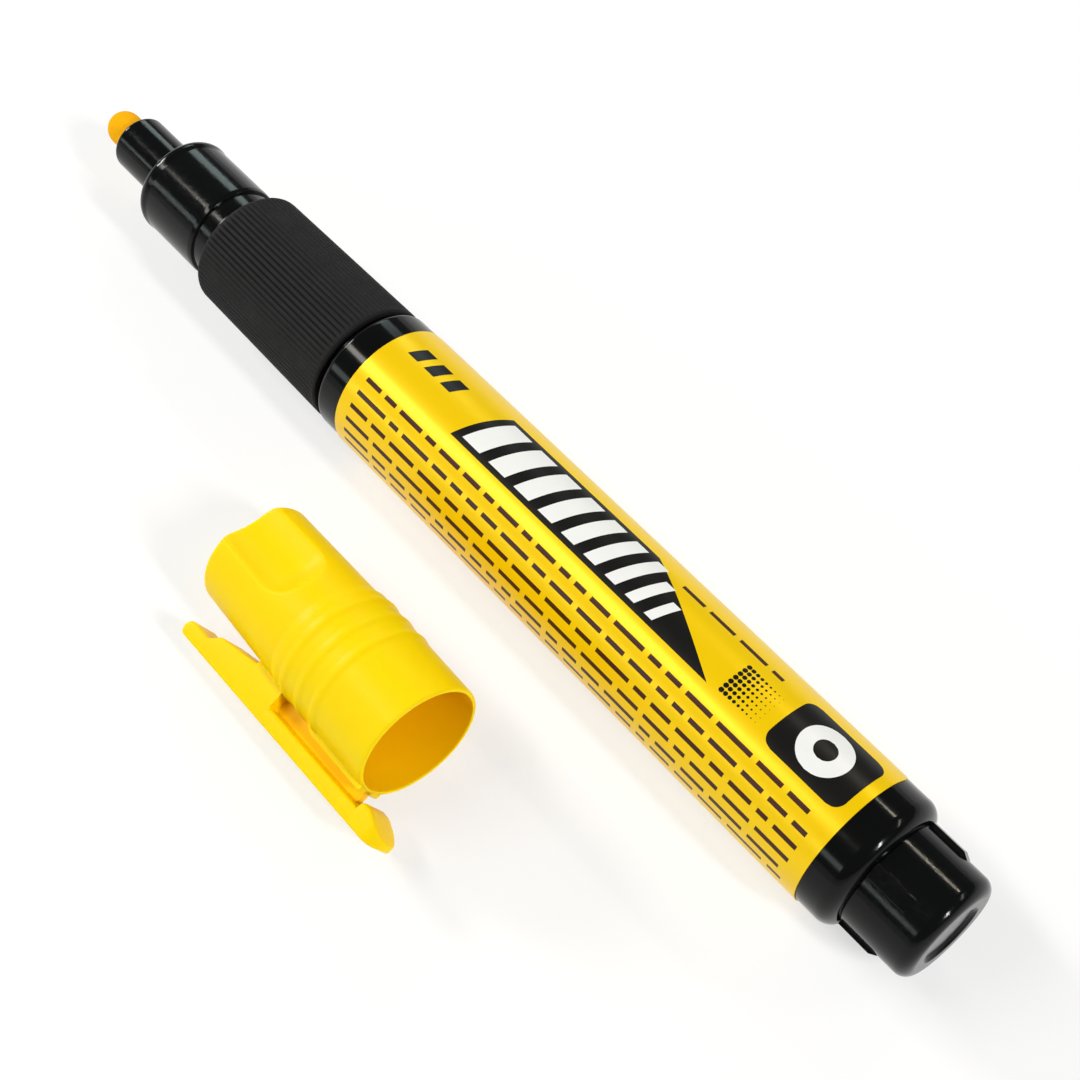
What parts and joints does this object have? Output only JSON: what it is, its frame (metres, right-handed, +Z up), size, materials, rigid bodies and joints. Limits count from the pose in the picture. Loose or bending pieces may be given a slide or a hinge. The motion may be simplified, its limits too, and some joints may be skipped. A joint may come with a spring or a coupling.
{
  "type": "paint marker",
  "caption": "Valve-action paint marker with a felt nib, ribbed grip, wrapped barrel and a clip cap that lies beside it.",
  "frame": {"origin": "on the table under the middle of the marker and its cap", "axes": "+X along the marker's axis towards its tail, +Z up from the table"},
  "size_m": [0.1332, 0.0412, 0.015],
  "materials": {
    "felt": "matte bonded fibre soaked with yellow paint",
    "black_moulding": "gloss injection moulding",
    "grip_rubber": "matte, finely ribbed",
    "black_lacquer": "gloss lacquer on drawn aluminium",
    "label_film": "gloss printed film",
    "yellow_moulding": "satin moulding, slightly translucent",
    "natural_moulding": "uncoloured moulding",
    "seal_rubber": "matte",
    "spring_steel": "drawn stainless wire",
    "ball_steel": "ground ball"
  },
  "bodies": {
    "barrel": {"front_section": "black_moulding", "grip_sleeve": "grip_rubber", "barrel_tube": "black_lacquer", "label_wrap": "label_film", "tail_plug": "black_moulding", "valve_housing": "natural_moulding", "valve_seal": "seal_rubber", "valve_spring": "spring_steel", "spring_retainer": "natural_moulding"},
    "nib_unit": {"nib": "felt", "valve_stem": "natural_moulding"},
    "ball": {"mixing_ball": "ball_steel"},
    "cap": {"cap_shell": "yellow_moulding", "cap_liner": "natural_moulding"}
  },
  "joints": [
    {"name": "nib_press", "type": "slide", "parent": "barrel", "child": "nib_unit", "axis": [1, 0, 0], "range_m": [0, 0.0025], "stiffness_N_per_m": 400, "springref_m": -0.002, "deforming": ["valve_spring"]},
    {"name": "ball_roll", "type": "slide", "parent": "barrel", "child": "ball", "axis": [1, 0, 0], "range_m": [-0.0226, 0.0329]},
    {"name": "cap_pull", "type": "slide", "parent": "barrel", "child": "cap", "axis": [-0.9994, 0.0349, 0], "range_m": [0, 0.0282]}
  ]
}
